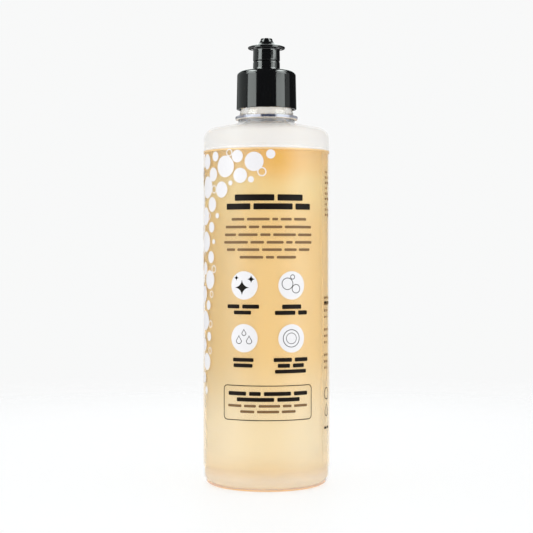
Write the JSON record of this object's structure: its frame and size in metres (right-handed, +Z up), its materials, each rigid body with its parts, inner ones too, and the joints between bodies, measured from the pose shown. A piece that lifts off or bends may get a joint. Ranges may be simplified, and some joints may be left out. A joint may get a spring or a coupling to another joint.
{
  "type": "dish soap bottle",
  "caption": "Round translucent squeeze bottle of liquid soap with a film label, a black screw cap and a push-pull pouring spout.",
  "frame": {"origin": "centre of the flat ring that the bottle stands on", "axes": "+Z up along the bottle's axis, the front of the label faces -Y, the lap of the label is towards +X and -Y"},
  "size_m": [0.0626, 0.0626, 0.2205],
  "materials": {
    "frosted_pet": "satin",
    "soap_liquid": "gloss",
    "label_film": "satin",
    "black_plastic": "gloss",
    "white_foam": "matte"
  },
  "bodies": {
    "bottle": {"bottle": "frosted_pet", "dish_soap": "soap_liquid", "label": "label_film"},
    "seal": {"seal_washer": "white_foam"},
    "cap": {"screw_cap": "black_plastic"},
    "spout": {"pull_spout": "black_plastic"}
  },
  "joints": [
    {"name": "cap_lift", "type": "slide", "parent": "bottle", "child": "seal", "axis": [0, 0, 1], "range_m": [0, 0.00476]},
    {"name": "cap_turn", "type": "hinge", "parent": "seal", "child": "cap", "pos_m": [0, 0, 0.195], "axis": [0, 0, 1], "range_deg": [0, 540]},
    {"name": "spout_pull", "type": "slide", "parent": "cap", "child": "spout", "axis": [0, 0, 1], "range_m": [0, 0.0046]}
  ],
  "couplings": [
    {"joint": "cap_lift", "follows": "cap_turn", "m_per_rad": 0.00050532}
  ]
}
